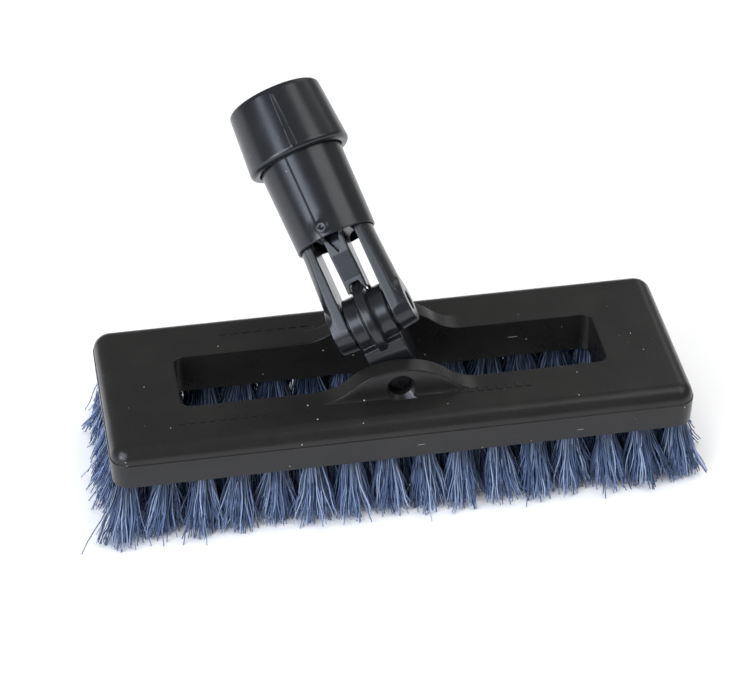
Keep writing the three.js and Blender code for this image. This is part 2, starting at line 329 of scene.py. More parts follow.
def moulded_plastic(name, colour, gloss, sink, dust, shine=0.5):
    """Dark moulded plastic: smooth skin with shallow sink marks, fine texture, scratches and dust."""
    material, tree, shader = new_material(name)
    handled = add(tree, "ShaderNodeMapRange", (grain(tree, 14, 5.0), 0.3, 0.7, *gloss))
    tree.links.new(handled.outputs[0], shader.inputs["Roughness"])
    # sink marks of some 26 mm, and the mould's texture, drawn coarser than the real one so that it shows
    relief(tree, shader, (grain(tree, 26, 1.0), sink), (grain(tree, 0.6, 2.0), 0.003))
    # specks of dust: in a few of the cells of a fine pattern, a spot round the cell's middle
    place = add(tree, "ShaderNodeTexCoord").outputs["Object"]
    cells = add(tree, "ShaderNodeTexVoronoi", {"Vector": place, "Scale": 1 / (SPECK_PITCH * MM)})
    pick = add(tree, "ShaderNodeSeparateColor", (cells.outputs["Color"],))
    size = add(tree, "ShaderNodeMapRange", (pick.outputs["Red"], 1 - dust, 1.0, 0.0, 0.13))
    speck = number(tree, "LESS_THAN", cells.outputs["Distance"], size)
    # scratches: the same in long thin cells, turned across the piece
    slant = add(tree, "ShaderNodeMapping", {
        "Vector": place, "Rotation": (0.4, 0.3, 0.9), "Scale": (0.06, 1, 1),
    })
    threads = add(tree, "ShaderNodeTexVoronoi", {"Vector": slant, "Scale": 1 / (SCRATCH_PITCH * MM)})
    pick = add(tree, "ShaderNodeSeparateColor", (threads.outputs["Color"],))
    width = add(tree, "ShaderNodeMapRange", (pick.outputs["Green"], 1 - dust / 4, 1.0, 0.0, 0.16))
    scratch = number(tree, "LESS_THAN", threads.outputs["Distance"], width)
    marked = number(tree, "MAXIMUM", speck, scratch)
    # a thin uneven bloom of dust that greys the colour a little
    bloom = add(tree, "ShaderNodeMapRange", (grain(tree, 20, 4.0), 0.4, 0.75, 0.0, dust / 12))
    cover = number(tree, "MAXIMUM", marked, bloom)
    paint = add(tree, "ShaderNodeMix", {
        "Factor": cover, "A": linear(colour), "B": linear(DUST_COLOUR),
    }, data_type="RGBA")
    shader.inputs["Specular IOR Level"].default_value = shine
    tree.links.new(paint.outputs["Result"], shader.inputs["Base Color"])
    return material


# black polypropylene: satin with broad soft sheens, a little warm, dulled unevenly by handling
block_plastic = moulded_plastic("black_polypropylene", "#1b1a19", (0.24, 0.34), 0.4, 0.1, 0.34)

sections = [block_profile(*station) for station in stations()]
middle = (BLOCK_MIDDLE.x, BLOCK_MIDDLE.y, 0)
block_points = [[(c + m) * MM for c, m in zip(p, middle)] for section in sections for p in section]
block_faces = loft_faces(len(sections), len(sections[0]))
brush_block = mesh_object("brush_block_moulding", block_points, block_faces)
cut_away(brush_block, rod_along_y(AXLE_HOLE, SLOT_HALF[1] + HUMP_DEPTH, BLOCK_TOP + AXLE_HOLE_RISE))
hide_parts("brush_block")
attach(brush_block, "block")
brush_block.data.materials.clear()
brush_block.data.materials.append(block_plastic)

# --------
# Moulded marks: rows of plain low bars on the block's top, where such blocks carry their lettering.
# They are part of the moulding, 0.4 mm high with worn edges.
MARK_RISE, MARK_SUNK, MARK_EDGE = 0.4, 0.3, 0.2


def low_bar(middle, size):
    """Points and faces of a bar with sloping sides, its foot sunk in the block's top."""
    points = []
    for height, inset in ((-MARK_SUNK, 0), (MARK_RISE - MARK_EDGE, 0), (MARK_RISE, MARK_EDGE)):
        for sx, sy in ((-1, -1), (1, -1), (1, 1), (-1, 1)):
            x, y = (m + s * (extent / 2 - inset) for m, s, extent in zip(middle, (sx, sy), size))
            points.append((x, y, BLOCK_TOP + height))
    sides = [(4 * r + k, 4 * r + (k + 1) % 4, 4 * r + 4 + (k + 1) % 4, 4 * r + 4 + k)
             for r in range(2) for k in range(4)]
    return points, [(3, 2, 1, 0), (8, 9, 10, 11), *sides]


# each row: first bar's place, pitch, bar size, bars
MARK_ROWS = (
    ((-95, -28), 4.4, (2.6, 2.2), 9),
    ((26, -26.8), 4.2, (2.6, 3.2), 8),
    ((-70, 31), 5.2, (3.4, 3.0), 8),
)
mark_points, mark_faces = [], []
for (first_x, row_y), pitch, bar_size, bars in MARK_ROWS:
    for i in range(bars):
        points, faces = low_bar((first_x + i * pitch, row_y), bar_size)
        mark_faces += [tuple(k + len(mark_points) for k in face) for face in faces]
        mark_points += [[(c + m) * MM for c, m in zip(p, middle)] for p in points]
marks = mesh_object("moulded_marks", mark_points, mark_faces, smooth_angle=20)
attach(marks, "block")
marks.data.materials.append(block_plastic)

# --------
# Swivel trunnion: a solid knuckle of black nylon, moulded in one, that swings on the axle in the
# slot. Its round lobe holds the tilt pin, and the smooth tapered rim round it is what the lock grips.
joints = {joint["name"]: joint for joint in frame["record"]["behaviour"]["joints"]}
pin_line = Vector(joints["tilt"]["axis"]).normalized()
axle_line = Vector(joints["swivel"]["axis"]).normalized()
pole_line = Vector(joints["collar_turn"]["axis"]).normalized()
AXLE_POINT = Vector(joints["swivel"]["pos_m"])
PIN_POINT = Vector(joints["tilt"]["pos_m"])
PIN_RISE = (PIN_POINT - AXLE_POINT).length / MM


def placed_at(point, x_line, y_line):
    """The matrix from a piece's own millimetres to the frame's metres."""
    turn = Matrix((x_line, y_line, x_line.cross(y_line))).transposed().to_4x4()
    return Matrix.Translation(point) @ turn @ Matrix.Scale(MM, 4)


TRUNNION_PLACE = placed_at(AXLE_POINT, pin_line, axle_line)
POLE_PLACE = placed_at(PIN_POINT, pin_line, pole_line.cross(pin_line))


def join(a, b, fillet=0.0):
    """Union of two distance fields, with a fillet of about that size in the corner."""
    if not fillet:
        return np.minimum(a, b)
    mix = np.maximum(fillet - np.abs(a - b), 0) / fillet
    return np.minimum(a, b) - mix ** 2 * fillet / 4


def common(a, b, edge=0.0):
    """What two distance fields share, with the new edge rounded over."""
    return -join(-a, -b, edge)


def without(a, b, edge=0.0):
    """The first distance field less the second."""
    return common(a, -b, edge)


def brick(p, low, high, edge=0.5):
    """Distance to a box with rounded edges."""
    half = [(b - a) / 2 - edge for a, b in zip(low, high)]
    reach = [np.abs(c - (a + b) / 2) - h for c, a, b, h in zip(p, low, high, half)]
    outside = np.sqrt(sum(np.maximum(r, 0) ** 2 for r in reach))
    return outside + np.minimum(np.maximum.reduce(reach), 0) - edge


def bar(p, axis, radius, low, high, edge=0.5):
    """Distance to a round bar along an axis, with rounded rims."""
    u, v = (p[i] for i in range(3) if i != axis)
    across = np.sqrt(u ** 2 + v ** 2) - radius + edge
    along = np.abs(p[axis] - (low + high) / 2) - (high - low) / 2 + edge
    outside = np.sqrt(np.maximum(across, 0) ** 2 + np.maximum(along, 0) ** 2)
    return outside + np.minimum(np.maximum(across, along), 0) - edge


def skin(name, distance, low, high, step, place):
    """A mesh of a distance field's surface: one point in each grid cell that it crosses."""
    axes = [np.arange(a - 2 * step, b + 3 * step, step) for a, b in zip(low, high)]
    grid = np.meshgrid(*axes, indexing="ij")
    value = distance(grid)
    inside = value < 0
    cells = [n - 1 for n in value.shape]
    total, count = np.zeros((3, *cells)), np.zeros(cells)
    crossings = []
    for axis in range(3):
        first = tuple(slice(0, -1) if i == axis else slice(None) for i in range(3))
        second = tuple(slice(1, None) if i == axis else slice(None) for i in range(3))
        crossed = inside[first] != inside[second]
        gap = np.where(crossed, value[first] - value[second], 1)
        share = np.where(crossed, value[first] / gap, 0)
        u, v = (i for i in range(3) if i != axis)
        for du in (0, 1):
            for dv in (0, 1):
                near = [slice(0, n) for n in cells]
                near[u], near[v] = slice(du, cells[u] + du), slice(dv, cells[v] + dv)
                near = tuple(near)
                hit = crossed[near]
                count += hit
                for i in range(3):
                    coordinate = grid[i][first][near] + (share[near] * step if i == axis else 0)
                    total[i] += np.where(hit, coordinate, 0)
        crossings.append((axis, u, v, crossed, inside[first]))
    used = count > 0
    index = np.full(cells, -1)
    index[used] = np.arange(used.sum())
    points = [total[i][used] / count[used] for i in range(3)]
    faces = []
    for axis, u, v, crossed, starts_inside in crossings:
        spots = np.argwhere(crossed)
        spots = spots[(spots[:, u] > 0) & (spots[:, v] > 0)]
        outwards = starts_inside[tuple(spots.T)] == (axis != 1)
        corners = []
        for du, dv in ((1, 1), (0, 1), (0, 0), (1, 0)):
            spot = spots.copy()
            spot[:, u] -= du
            spot[:, v] -= dv
            corners.append(index[tuple(spot.T)])
        quads = np.stack(corners, 1)
        quads[~outwards] = quads[~outwards][:, ::-1]
        faces.append(quads)
    # one step along the field's slope brings every point onto the surface
    nudge = step / 4
    here = distance(points)
    slope = []
    for i in range(3):
        ahead, behind = list(points), list(points)
        ahead[i], behind[i] = points[i] + nudge, points[i] - nudge
        slope.append((distance(ahead) - distance(behind)) / (2 * nudge))
    steepness = np.maximum(sum(s ** 2 for s in slope), 0.3)
    move = np.clip(here / steepness, -step / 2, step / 2)
    points = np.stack([c - move * s for c, s in zip(points, slope)], 1)
    turn, shift = np.array(place)[:3, :3], np.array(place)[:3, 3]
    return mesh_object(name, points @ turn.T + shift, np.concatenate(faces).tolist(), smooth_angle=50)


KNUCKLE_HALF = 9.1
LOBE_RADIUS = 12.2
RIM_TIP, RIM_TIP_HALF, RIM_ROOT, RIM_ROOT_HALF = 16.5, 1.8, 11, 3.6
BASE_HALF, BASE_LOW, BASE_TOP, TOE_HALF, TOE_TOP = 16.3, -9, 8.9, 14.6, 14
BASE_CHAMFER = 4
PIN_HOLE = 4.3
PAST = 30  # reach of a shape that goes right through the piece
FINE_STEP, SOCKET_STEP = 0.3, 0.48  # grid spacing of the meshes


def tapered_rim(x, reach, tip, gap=0.0):
    """Distance to a disc about the tilt pin that thins towards its edge, widened by gap."""
    taper = (RIM_ROOT_HALF - RIM_TIP_HALF) / (RIM_TIP - RIM_ROOT)
    flank = (np.abs(x) - gap - RIM_ROOT_HALF + (reach - RIM_ROOT) * taper) / math.hypot(1, taper)
    return common(flank, reach - tip, 0 if gap else 0.5)


def trunnion_field(p):
    """Distance to the trunnion: base, lobe and rim, cut flat at the sides and bored for both pins."""
    x, y, z = p
    slope = Vector((TOE_TOP - BASE_TOP, BASE_HALF - TOE_HALF)).normalized()
    base = brick(p, (-PAST, -BASE_HALF, BASE_LOW), (PAST, BASE_HALF, TOE_TOP), 0.4)
    base = common(base, (np.abs(y) - BASE_HALF) * slope.x + (z - BASE_TOP) * slope.y, 0.5)
    chamfer = (np.abs(y) - BASE_HALF + BASE_CHAMFER - z + BASE_LOW) * math.sqrt(0.5)
    base = common(base, chamfer, 0.8)
    at_pin = (x, y, z - PIN_RISE)
    body = join(base, bar(at_pin, 0, LOBE_RADIUS, -PAST, PAST), 1.2)
    body = common(body, np.abs(x) - KNUCKLE_HALF, 0.7)
    rim = tapered_rim(x, np.sqrt(y ** 2 + (z - PIN_RISE) ** 2), RIM_TIP)
    body = join(body, common(rim, BASE_LOW + BASE_CHAMFER - z), 0.5)
    body = without(body, bar(at_pin, 0, PIN_HOLE, -PAST, PAST), 0.3)
    return without(body, bar(p, 1, AXLE_HOLE, -PAST, PAST), 0.4)


# black nylon: a harder, cooler and glossier skin than the block's, with narrow bright sheens
joint_plastic = moulded_plastic("black_nylon", "#17191c", (0.2, 0.28), 0.12, 0.04)

trunnion = skin(
    "swivel_trunnion_moulding", trunnion_field,
    (-KNUCKLE_HALF, -RIM_TIP, BASE_LOW), (KNUCKLE_HALF, RIM_TIP, PIN_RISE + RIM_TIP),
    FINE_STEP, TRUNNION_PLACE,
)
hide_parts("swivel_trunnion")
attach(trunnion, "trunnion")
trunnion.data.materials.append(joint_plastic)

# --------
# Pole socket: a fork whose two round-nosed legs hold the tilt pin, and above it the tube that the
# sleeve slides on. Both are moulded in black nylon and welded together, open at the top for the pole.
SOCKET_RADIUS, BORE_RADIUS, BORE_FLOOR, SOCKET_TOP = 16.8, 12.3, 58, 105.5
LEG_INNER, LEG_DEPTH, PLUG_LOW = 10.1, 10.2, 49
BOSS_RADIUS, BOSS_FACE_RADIUS, BOSS_OUTER = 10.6, 9.8, 18
LEG_FLARE = ((12, 34), (1, 0))  # heights, and how far the legs stand out beyond the tube there
LEG_ROOT = 5  # how far the legs' shape reaches past their inner faces before it is cut flat
RING_GROOVE = (101.4, 103.2, 15.3)  # low, high and bottom radius


def socket_field(p):
    """Distance to the pole socket: two legs with round bosses, and the bored tube."""
    x, y, z = p
    out = np.abs(x)
    round_out = np.sqrt(x ** 2 + y ** 2) - SOCKET_RADIUS
    leg_low = (LEG_INNER - LEG_ROOT, -LEG_DEPTH - 3, 0)
    leg_high = (SOCKET_RADIUS + LEG_ROOT, LEG_DEPTH + 3, PLUG_LOW + 3)
    legs = brick((out, y, z), leg_low, leg_high, 0)
    legs = common(legs, round_out - np.interp(z, *LEG_FLARE))
    taper = (BOSS_RADIUS - BOSS_FACE_RADIUS) / (BOSS_OUTER - LEG_INNER)
    reach = np.sqrt(y ** 2 + z ** 2)
    cone = reach - BOSS_RADIUS + (out - LEG_INNER) * taper
    legs = join(legs, common(cone, LEG_INNER - LEG_ROOT - out), 3)
    # the fillet swells the faces a little, so they are cut flush afterwards
    flush = np.where(z > 0, np.abs(y), reach) - BOSS_RADIUS + (out - LEG_INNER) * taper
    legs = common(legs, np.maximum(flush, np.abs(y) - LEG_DEPTH), 0.3)
    legs = common(legs, out - BOSS_OUTER, 0.3)
    legs = common(legs, LEG_INNER - out, 0.4)
    tube = bar(p, 2, SOCKET_RADIUS, PLUG_LOW, SOCKET_TOP, 0.7)
    body = join(legs, tube, 0.8)
    body = without(body, bar(p, 0, PIN_HOLE, -PAST, PAST), 0.4)
    body = without(body, bar(p, 2, BORE_RADIUS, BORE_FLOOR, SOCKET_TOP + PAST, 0.3), 0.8)
    low, high, root = RING_GROOVE
    groove = np.maximum(np.abs(z - (low + high) / 2) - (high - low) / 2, root - SOCKET_RADIUS - round_out)
    return without(body, groove)


socket = skin(
    "pole_socket_moulding", socket_field,
    (-BOSS_OUTER, -SOCKET_RADIUS, -BOSS_RADIUS), (BOSS_OUTER, SOCKET_RADIUS, SOCKET_TOP),
    SOCKET_STEP, POLE_PLACE,
)
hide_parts("socket_fork", "socket_tube")
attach(socket, "socket")
socket.data.materials.append(joint_plastic)

# --------
# Lock tongue: a bar of black nylon between the fork's legs, moulded on a crosspiece that is fixed in
# the sleeve. It slopes outwards as it rises, and its notched tip straddles the trunnion's rim.
TONGUE_HALF, TONGUE_LOW, TONGUE_BACK, TONGUE_RIM, TONGUE_LOBE = 4.6, 9, 5.5, 16.8, 12.8
TONGUE_FRONT = ((18, 30, 36), (6.4, 9.4, 10))  # heights, and how far forward the front face is there
POCKET_LOW, POCKET_DEPTH, POCKET_SLOPE = 30.5, 3.5, 0.42  # the V-shaped pocket in the front face
CROSS_LOW, CROSS_HIGH, CROSS_HALF, CROSS_REACH = 40, 48.6, 8, 16.5
TIP_GAP = 0.3  # between the notch and the rim when unlocked


def tongue_field(p):
    """Distance to the lock tongue: a sloping plate with a crosspiece, a pocket and a notched tip."""
    x, y, z = p
    front = np.interp(z, *TONGUE_FRONT)
    plate = common((-y - front) * 0.96, y - TONGUE_BACK, 0.4)
    plate = common(plate, np.abs(x) - TONGUE_HALF, 0.7)
    plate = common(plate, np.maximum(TONGUE_LOW - z, z - CROSS_LOW - 3))
    cross_low = (-CROSS_HALF, -CROSS_REACH - 3, CROSS_LOW)
    cross = brick(p, cross_low, (CROSS_HALF, CROSS_REACH + 3, CROSS_HIGH), 0.5)
    cross = common(cross, np.sqrt(x ** 2 + y ** 2) - CROSS_REACH, 0.4)
    body = join(plate, cross, 5)
    flank = (np.abs(x) - (z - POCKET_LOW) * POCKET_SLOPE) * 0.92
    pocket = np.maximum(flank, y + front - POCKET_DEPTH)
    body = without(body, pocket, 0.2)
    reach = np.sqrt(y ** 2 + (z - 1) ** 2)
    body = without(body, reach - TONGUE_LOBE, 0.4)
    return without(body, tapered_rim(x, reach, TONGUE_RIM, TIP_GAP), 0.3)


tongue = skin(
    "lock_tongue_moulding", tongue_field,
    (-CROSS_HALF, -CROSS_REACH, TONGUE_LOW), (CROSS_HALF, CROSS_REACH, CROSS_HIGH),
    FINE_STEP, POLE_PLACE,
)
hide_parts("lock_tongue")
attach(tongue, "lock")
tongue.data.materials.append(joint_plastic)

# --------
# Lock sleeve: a smooth tapered tube of black nylon that slides over the fork's root. The mould leaves
# a fine parting line down it and a small gate stub just above its lower rim.


def turned(name, profile, place, bump=None, facets=144):
    """A turned piece about Z from a closed outline of (radius, height), with an optional bump(angle,
    height, radius) that gives what is added to the radius."""
    turns = [2 * math.pi * k / facets for k in range(facets)]
    points = []
    for a in turns:
        for radius, height in reversed(profile):
            r = radius + (bump(a, height, radius) if bump else 0)
            points.append(place @ Vector((r * math.cos(a), r * math.sin(a), height)))
    return mesh_object(name, points, loft_faces(facets, len(profile)))


def arc(centre, radius, start, end, steps=5):
    """Points of an arc in the profile's plane, angles in degrees."""
    angles = [math.radians(start + (end - start) * i / steps) for i in range(steps + 1)]
    return [(centre[0] + radius * math.cos(a), centre[1] + radius * math.sin(a)) for a in angles]


def climb(low, high, steps):
    """Points on a straight stretch of profile, without its ends."""
    return [tuple(a + (b - a) * i / steps for a, b in zip(low, high)) for i in range(1, steps)]


SLEEVE_LOW, SLEEVE_HIGH, SLEEVE_LOW_RADIUS, SLEEVE_HIGH_RADIUS = 37.5, 81, 18.1, 18.9
SLEEVE_BORE, SLEEVE_RIM = 17.15, 0.5
PARTING_ANGLE, PARTING_RISE = math.radians(-100), 0.16
GATE_ANGLE, GATE_HEIGHT, GATE_RADIUS = math.radians(-94), 41.8, 2.7


def off_angle(angle, middle):
    """How far an angle is from the middle one, the short way round."""
    return (angle - middle + math.pi) % (2 * math.pi) - math.pi


def sleeve_bump(angle, height, radius):
    """The parting line and the ring-shaped gate stub on the sleeve's outside."""
    if radius < SLEEVE_LOW_RADIUS - 0.35:
        return 0
    line = PARTING_RISE * math.exp(-(off_angle(angle, PARTING_ANGLE) * radius / 0.3) ** 2)
    from_gate = math.hypot(off_angle(angle, GATE_ANGLE) * radius, height - GATE_HEIGHT) / GATE_RADIUS
    stub = 0.6 * math.exp(-((from_gate - 0.6) / 0.4) ** 2) + 0.25 * math.exp(-(from_gate / 1.8) ** 4)
    return line + stub


sleeve_foot = (SLEEVE_LOW_RADIUS, SLEEVE_LOW + SLEEVE_RIM)
sleeve_head = (SLEEVE_HIGH_RADIUS, SLEEVE_HIGH - SLEEVE_RIM)
sleeve_profile = [
    (SLEEVE_BORE, SLEEVE_LOW + 0.2), (SLEEVE_BORE + 0.2, SLEEVE_LOW),
    *arc((SLEEVE_LOW_RADIUS - SLEEVE_RIM, SLEEVE_LOW + SLEEVE_RIM), SLEEVE_RIM, -90, 0),
    *climb(sleeve_foot, sleeve_head, 90),
    *arc((SLEEVE_HIGH_RADIUS - SLEEVE_RIM, SLEEVE_HIGH - SLEEVE_RIM), SLEEVE_RIM, 0, 90),
    (SLEEVE_BORE, SLEEVE_HIGH),
]
sleeve = turned("lock_sleeve_moulding", sleeve_profile, POLE_PLACE, sleeve_bump, facets=360)
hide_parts("lock_sleeve")
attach(sleeve, "lock")
sleeve.data.materials.append(joint_plastic)

# --------
# Lock collar: a thick moulded ring of black nylon at the top that the hand twists. Its foot is round
# and hollow over the sleeve, its top edge is well rounded, and one slim rib marks its position.
COLLAR_LOW, COLLAR_HIGH, COLLAR_LOW_RADIUS, COLLAR_HIGH_RADIUS = 76.2, 106.9, 23.1, 21.2
COLLAR_WALL, COLLAR_BORE, COLLAR_COUNTER = 19.4, 17.15, 18.3  # inner radii, from the foot up
COLLAR_RECESS, COLLAR_SHOULDER = 82, 100  # heights where they change
FOOT_ARC, TOP_ARC = 2.2, 2.3
RIB_ANGLE, RIB_RISE = math.radians(-82), 1.2
RIB_LOW_HALF, RIB_HIGH_HALF = 1.4, 0.8  # half its width at the collar's foot and top


def collar_bump(angle, height, radius):
    """The sharp rib down the collar's outside, which fades out towards the top."""
    up = (height - COLLAR_LOW) / (COLLAR_HIGH - COLLAR_LOW)
    if radius < COLLAR_HIGH_RADIUS - 1 or not 0.07 < up < 0.9:
        return 0
    off = abs(off_angle(angle, RIB_ANGLE)) * radius
    half_width = RIB_LOW_HALF + (RIB_HIGH_HALF - RIB_LOW_HALF) * up
    return RIB_RISE * (1 - up) ** 0.6 * max(1 - off / half_width, 0)


collar_foot = (COLLAR_LOW_RADIUS, COLLAR_LOW + FOOT_ARC)
collar_head = (COLLAR_HIGH_RADIUS, COLLAR_HIGH - TOP_ARC)
collar_profile = [
    (COLLAR_WALL, COLLAR_LOW + 0.3), (COLLAR_WALL + 0.3, COLLAR_LOW),
    *arc((COLLAR_LOW_RADIUS - FOOT_ARC, COLLAR_LOW + FOOT_ARC), FOOT_ARC, -90, 0, 8),
    *climb(collar_foot, collar_head, 60),
    *arc((COLLAR_HIGH_RADIUS - TOP_ARC, COLLAR_HIGH - TOP_ARC), TOP_ARC, 0, 90, 8),
    (COLLAR_COUNTER, COLLAR_HIGH - 0.2),
    (COLLAR_COUNTER, COLLAR_SHOULDER), (COLLAR_BORE, COLLAR_SHOULDER),
    (COLLAR_BORE, COLLAR_RECESS), (COLLAR_WALL, COLLAR_RECESS),
]
collar = turned("lock_collar_moulding", collar_profile, POLE_PLACE, collar_bump, facets=360)
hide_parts("lock_collar")
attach(collar, "collar")
collar.data.materials.append(joint_plastic)

# --------
# Axle and tilt pin: plain steel bars with chamfered ends, pressed in and sunk in their holes. A black
# nylon thrust washer on the pin at each side of the knuckle keeps the fork's legs off it.


def pin_profile(radius, half, chamfer=0.5):
    """The outline of a bar with chamfered ends; its poles are small enough to close as a point."""
    return [(0.01, -half), (radius - chamfer, -half), (radius, -half + chamfer),
            (radius, half - chamfer), (radius - chamfer, half), (0.01, half)]


def washer_profile(bore, radius, low, high, edge=0.08):
    """The outline of a flat ring with broken edges."""
    return [(bore, low), (radius - edge, low), (radius, low + edge), (radius, high - edge),
            (radius - edge, high), (bore, high)]


# black-oxide steel: dark and dull, with the fine rings that turning leaves
steel, steel_tree, steel_shader = new_material("black_oxide_steel")
steel_shader.inputs["Base Color"].default_value = linear("#404042")
steel_shader.inputs["Metallic"].default_value = 1.0
steel_gloss = add(steel_tree, "ShaderNodeMapRange", (grain(steel_tree, 1.5), 0.3, 0.7, 0.25, 0.45))
steel_tree.links.new(steel_gloss.outputs[0], steel_shader.inputs["Roughness"])
relief(steel_tree, steel_shader, (grain(steel_tree, 0.3, stretch=(0.2, 1, 1)), 0.01))

AXLE_RADIUS, AXLE_HALF, PIN_RADIUS, PIN_HALF = 4.8, 23.5, 4, 16.6
WASHER_RADIUS, WASHER_LOW, WASHER_HIGH = 10, 9.4, 9.8  # beside the knuckle, measured from its middle
AXLE_PLACE = TRUNNION_PLACE @ Matrix.Rotation(math.pi / 2, 4, "X")
PIN_PLACE = POLE_PLACE @ Matrix.Rotation(math.pi / 2, 4, "Y")
axle = turned("swivel_axle_bar", pin_profile(AXLE_RADIUS, AXLE_HALF), AXLE_PLACE, facets=64)
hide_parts("swivel_axle")
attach(axle, "trunnion")
tilt_pin = turned("tilt_pin_bar", pin_profile(PIN_RADIUS, PIN_HALF), PIN_PLACE, facets=64)
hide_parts("tilt_pin")
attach(tilt_pin, "socket")
for pin in (axle, tilt_pin):
    pin.data.materials.append(steel)
for where, low, high in (("left", -WASHER_HIGH, -WASHER_LOW), ("right", WASHER_LOW, WASHER_HIGH)):
    washer_outline = washer_profile(PIN_HOLE, WASHER_RADIUS, low, high)
    washer = turned(f"{where}_thrust_washer_disc", washer_outline, PIN_PLACE, facets=96)
    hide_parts(f"{where}_thrust_washer")
    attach(washer, "socket")
    washer.data.materials.append(joint_plastic)

# --------
# Wave washer and snap ring: spring steel in the collar's counterbore. The wavy washer presses the
# collar down, and the open ring in the socket's groove holds both on.
WAVE_WASHER = (17.2, 18.0, 100.3, 101)  # inner and outer radius, low and high
WAVE_RISE, WAVES = 0.18, 4
SNAP_RING = (15.7, 18.0, 101.7, 102.9)
RING_GAP = 4


def flat_ring(name, size, height_at, gap=0.0, facets=180):
    """A flat ring whose height follows height_at(angle), open by gap towards +Y if it has one."""
    bore, radius, low, high = size
    half = gap / (2 * radius)
    start = math.pi / 2 + half
    span = 2 * math.pi - 2 * half
    count = facets + 1 if gap else facets
    points = []
    for k in range(count):
        a = start + span * k / facets
        for r, h in reversed(washer_profile(bore, radius, low, high)):
            points.append(POLE_PLACE @ Vector((r * math.cos(a), r * math.sin(a), h + height_at(a))))
    around = len(points) // count
    faces = loft_faces(count, around)
    if gap:
        faces = faces[:-around]
        faces += [tuple(reversed(range(around))), tuple(range(len(points) - around, len(points)))]
    return mesh_object(name, points, faces)


wave_washer = flat_ring("wave_washer_ring", WAVE_WASHER, lambda a: WAVE_RISE * math.cos(WAVES * a))
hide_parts("collar_wave_washer")
snap_ring = flat_ring("snap_ring_wire", SNAP_RING, lambda a: 0, RING_GAP)
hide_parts("collar_snap_ring")
for ring in (wave_washer, snap_ring):
    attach(ring, "socket")
    ring.data.materials.append(steel)

# --------
# Thread insert: a liner moulded in natural nylon and pressed into the socket, with the round-topped
# coarse thread that takes a pole.
INSERT_LOW, INSERT_HIGH, INSERT_RADIUS, INSERT_OUTER = 60, 104, 9.6, 12
THREAD_PITCH, THREAD_DEPTH = 5.1, 1.1

# natural nylon: creamy, a little translucent, with a dry matt skin
nylon, nylon_tree, nylon_shader = new_material("natural_nylon")
nylon_tint = add(nylon_tree, "ShaderNodeMix", {
    "Factor": grain(nylon_tree, 5), "A": linear("#d9d5c6"), "B": linear("#cbc6b4"),
}, data_type="RGBA")
nylon_tree.links.new(nylon_tint.outputs["Result"], nylon_shader.inputs["Base Color"])
nylon_shader.inputs["Roughness"].default_value = 0.5
nylon_shader.inputs["Subsurface Weight"].default_value = 0.15
nylon_shader.inputs["Subsurface Radius"].default_value = (0.001, 0.001, 0.0008)


def thread_bump(angle, height, radius):
    """The round-topped thread in the liner's bore, fading out at its ends."""
    if radius > INSERT_RADIUS + 0.1:
        return 0
    wave = math.cos(2 * math.pi * (height / THREAD_PITCH - angle / (2 * math.pi)))
    fade = min(1, (INSERT_HIGH - 1 - height) / 3, (height - INSERT_LOW - 1) / 3)
    return -THREAD_DEPTH * max(fade, 0) * min(max(wave * 1.6, -1), 1) / 2 + THREAD_DEPTH / 2


insert_profile = [
    (INSERT_RADIUS, INSERT_HIGH - 0.4),
    *climb((INSERT_RADIUS, INSERT_HIGH - 0.4), (INSERT_RADIUS, INSERT_LOW), 110),
    (INSERT_RADIUS, INSERT_LOW), (INSERT_OUTER, INSERT_LOW),
    (INSERT_OUTER, INSERT_HIGH - 0.4), (INSERT_OUTER - 0.4, INSERT_HIGH),
    (INSERT_RADIUS + 0.4, INSERT_HIGH),
]
insert = turned("thread_insert_liner", insert_profile, POLE_PLACE, thread_bump, facets=96)
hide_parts("thread_insert")
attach(insert, "socket")
insert.data.materials.append(nylon)

# --------
# Tufts: blue polypropylene bristle, 150 to 240 in a hole, folded and stapled in blind holes. Each
# bundle leaves its hole tight and round, then splays, waves and frays to an uneven trim.
BRISTLE_RADIUS = 0.4  # thicker than a real one, and three-sided, so that single ones show
BRISTLE_STEPS = 9
GOLDEN_TURN = 2.39996  # radians between one bristle and the next, which fills the hole evenly
HOLE_TURN = 1.7  # radians between one hole's bristles and the next hole's
TUFT_LEAN = 0.002  # at the tips, in metres, and so are the strays and the swing
LOCK_SCALE, LOCK_STRAY = 620.0, (0.026, 0.02, 0.0)  # locks some 1.6 mm across
OWN_STRAY, WILD_STRAY, WILD_RARITY = 0.0007, 0.004, 14.0
WAVE_TURNS, WAVE_SWING = (9.0, 12.0, 0.0), 0.0007
SHORTEST, BEND, TIP_TAPER = 0.82, 1.35, 0.35  # shares of the length, power, share of the thickness


